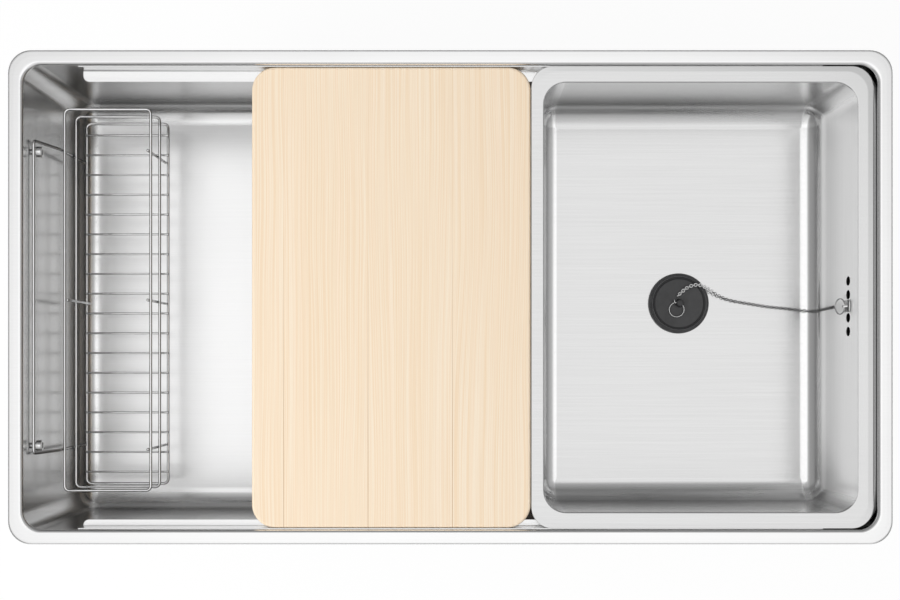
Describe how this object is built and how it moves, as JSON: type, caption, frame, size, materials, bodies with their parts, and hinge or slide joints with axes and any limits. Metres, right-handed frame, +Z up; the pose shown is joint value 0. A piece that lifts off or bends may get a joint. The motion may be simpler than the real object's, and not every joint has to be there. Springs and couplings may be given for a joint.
{
  "type": "workstation kitchen sink",
  "caption": "Drop-in steel kitchen sink with ledge rails for a sliding board and a sub-bowl with a chained stopper, a hanging wire rack and a basket strainer drain.",
  "frame": {"origin": "centre of the rim on the worktop plane, at the underside of the rim seal", "axes": "+X along the sink to the sub-bowl's side, +Y to the back wall, +Z up"},
  "size_m": [0.8884, 0.5004, 0.364],
  "materials": {
    "bowl_steel": "fine horizontal brushing",
    "rail_steel": "fine satin",
    "drain_steel": "satin",
    "polished_wire": "polished",
    "plated_steel": "bright plating",
    "board_wood": "bare sanded softwood",
    "stopper_rubber": "moulded black rubber",
    "foam_rubber": "closed-cell foam",
    "pad_rubber": "matt damping sheet",
    "washer_fibre": "pressed fibre"
  },
  "bodies": {
    "sink": {"main_bowl": "bowl_steel", "rim_seal": "foam_rubber", "ledge_rail_back": "rail_steel", "ledge_rail_front": "rail_steel", "hanger_studs": "polished_wire", "stud_washers": "plated_steel", "stud_nuts": "plated_steel", "clip_brackets": "rail_steel", "clip_screws": "plated_steel", "clip_feet": "plated_steel", "sound_pads": "pad_rubber", "drain_cup": "drain_steel", "drain_gasket": "stopper_rubber", "friction_washer": "washer_fibre", "drain_lock_nut": "plated_steel", "tailpiece": "plated_steel", "tailpiece_washer": "washer_fibre", "slip_nut": "plated_steel"},
    "board": {"cutting_board": "board_wood"},
    "sub_bowl": {"sub_bowl": "bowl_steel", "chain_eye": "rail_steel", "chain_run": "polished_wire"},
    "wall_ring": {"chain_wall_ring": "polished_wire"},
    "stopper": {"stopper": "stopper_rubber", "chain_drape": "polished_wire"},
    "plug_ring": {"stopper_ring": "polished_wire", "chain_end_ring": "polished_wire"},
    "rack": {"rack_top_frame": "polished_wire", "rack_middle_frame": "polished_wire", "rack_bottom_frame": "polished_wire", "rack_slats": "polished_wire", "rack_uprights": "polished_wire", "rack_hanger": "polished_wire"},
    "basket": {"strainer_basket": "drain_steel", "basket_seal": "stopper_rubber", "basket_knob": "stopper_rubber"}
  },
  "joints": [
    {"name": "board_slide", "type": "slide", "parent": "sink", "child": "board", "axis": [1, 0, 0], "range_m": [-0.165, 0]},
    {"name": "sub_bowl_lift", "type": "slide", "parent": "sink", "child": "sub_bowl", "axis": [0, 0, 1], "range_m": [0, 0.15]},
    {"name": "wall_ring_swing", "type": "hinge", "parent": "sub_bowl", "child": "wall_ring", "pos_m": [0.4026, -0.0073, -0.033], "axis": [0, 1, 0], "range_deg": [0, 60]},
    {"name": "stopper_lift", "type": "slide", "parent": "sub_bowl", "child": "stopper", "axis": [0, 0, 1], "range_m": [0, 0.06]},
    {"name": "plug_ring_swing", "type": "hinge", "parent": "stopper", "child": "plug_ring", "pos_m": [0.2492, 0, -0.1171], "axis": [-0.9048, 0.4258, 0], "range_deg": [0, 70]},
    {"name": "rack_lift", "type": "slide", "parent": "sink", "child": "rack", "axis": [0, 0, 1], "range_m": [0, 0.2]},
    {"name": "basket_lift", "type": "slide", "parent": "sink", "child": "basket", "axis": [0, 0, 1], "range_m": [0, 0.06]}
  ]
}
